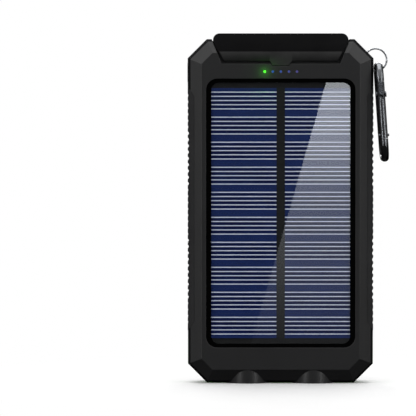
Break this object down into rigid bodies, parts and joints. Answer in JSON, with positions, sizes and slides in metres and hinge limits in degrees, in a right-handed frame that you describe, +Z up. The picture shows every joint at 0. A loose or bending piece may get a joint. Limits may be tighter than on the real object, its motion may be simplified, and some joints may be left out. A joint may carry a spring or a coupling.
{
  "type": "solar phone charger",
  "caption": "Slim rectangular battery charger with a solar panel on its face, a double torch at one end, covered sockets at the other, and a ring with a snap hook.",
  "frame": {"origin": "middle of the plane that the torch end stands on, half way between the two torch lenses and half way through the thickness", "axes": "+Z up along the long axis from the torch end to the port end, +X to the right when the solar panel faces the viewer, -Y out of the solar panel"},
  "size_m": [0.0814, 0.021, 0.1412],
  "materials": {
    "shell_black": "fine matt grain",
    "frame_black": "fine matt grain",
    "accent_green": "satin",
    "grip_rubber": "matt",
    "cover_rubber": "satin",
    "gasket_black": "gloss",
    "panel_clear": "gloss",
    "panel_board": "matt",
    "cell_blue": "satin",
    "pipe_green": "clear, lit",
    "pipe_blue": "clear",
    "circuit_board": "lacquered",
    "socket_steel": "bright",
    "tongue_plastic": "matt",
    "chip_black": "matt",
    "ferrite_grey": "matt",
    "ceramic_tan": "matt",
    "emitter_white": "satin",
    "switch_steel": "bright",
    "button_black": "satin",
    "pouch_foil": "satin",
    "foam_grey": "foam",
    "wire_red": "satin",
    "reflector_chrome": "mirror bright",
    "lens_clear": "clear, lit",
    "seal_rubber": "matt",
    "screw_steel": "bright",
    "ring_steel": "bright",
    "carabiner_black": "gloss black anodised",
    "rivet_steel": "bright",
    "spring_steel": "bright"
  },
  "bodies": {
    "case": {"front_shell": "shell_black", "rear_shell": "shell_black", "accent_band": "accent_green", "upper_frame": "frame_black", "grip_left": "grip_rubber", "grip_right": "grip_rubber", "cover_anchor": "cover_rubber", "panel_window": "panel_clear", "panel_gasket": "gasket_black", "solar_board": "panel_board", "solar_cells": "cell_blue", "indicator_pipe_green": "pipe_green", "indicator_pipes_blue": "pipe_blue", "indicator_emitters": "emitter_white", "main_board": "circuit_board", "usb_a_left": "socket_steel", "usb_a_right": "socket_steel", "micro_usb": "socket_steel", "socket_tongues": "tongue_plastic", "controller_chips": "chip_black", "power_inductor": "ferrite_grey", "board_capacitors": "ceramic_tan", "board_screws": "screw_steel", "tact_switch": "switch_steel", "battery_cell_front": "pouch_foil", "battery_cell_rear": "pouch_foil", "protection_board": "circuit_board", "foam_pads": "foam_grey", "battery_wires": "wire_red", "solar_wires": "wire_red", "torch_wires": "wire_red", "torch_board": "circuit_board", "torch_emitters": "emitter_white", "reflector_left": "reflector_chrome", "reflector_right": "reflector_chrome", "lens_left": "lens_clear", "lens_right": "lens_clear", "lens_seals": "seal_rubber", "lanyard_post": "screw_steel"},
    "port_cover": {"port_cover": "cover_rubber"},
    "power_button": {"power_button": "button_black"},
    "ring": {"split_ring": "ring_steel"},
    "carabiner": {"carabiner_body": "carabiner_black", "gate_rivet": "rivet_steel"},
    "gate": {"carabiner_gate": "carabiner_black", "gate_spring": "spring_steel"}
  },
  "joints": [
    {"name": "cover_hinge", "type": "hinge", "parent": "case", "child": "port_cover", "pos_m": [0, 0.0076, 0.1396], "axis": [-1, 0, 0], "range_deg": [0, 140], "stiffness_Nm_per_rad": 0.002},
    {"name": "button_press", "type": "slide", "parent": "case", "child": "power_button", "axis": [1, 0, 0], "range_m": [0, 0.0006], "stiffness_N_per_m": 1500, "springref_m": -0.0003},
    {"name": "ring_swing", "type": "hinge", "parent": "case", "child": "ring", "pos_m": [0.03565, 0, 0.13103], "axis": [0, -1, 0], "range_deg": [0, 55]},
    {"name": "carabiner_swing", "type": "hinge", "parent": "ring", "child": "carabiner", "pos_m": [0.0397, 0, 0.1262], "axis": [0.9976, 0, 0.0698], "range_deg": [-45, 45]},
    {"name": "gate_hinge", "type": "hinge", "parent": "carabiner", "child": "gate", "pos_m": [0.04037, -0.0091, 0.11662], "axis": [0.9976, 0, 0.0698], "range_deg": [0, 25], "stiffness_Nm_per_rad": 0.02, "springref_deg": -20.05}
  ]
}
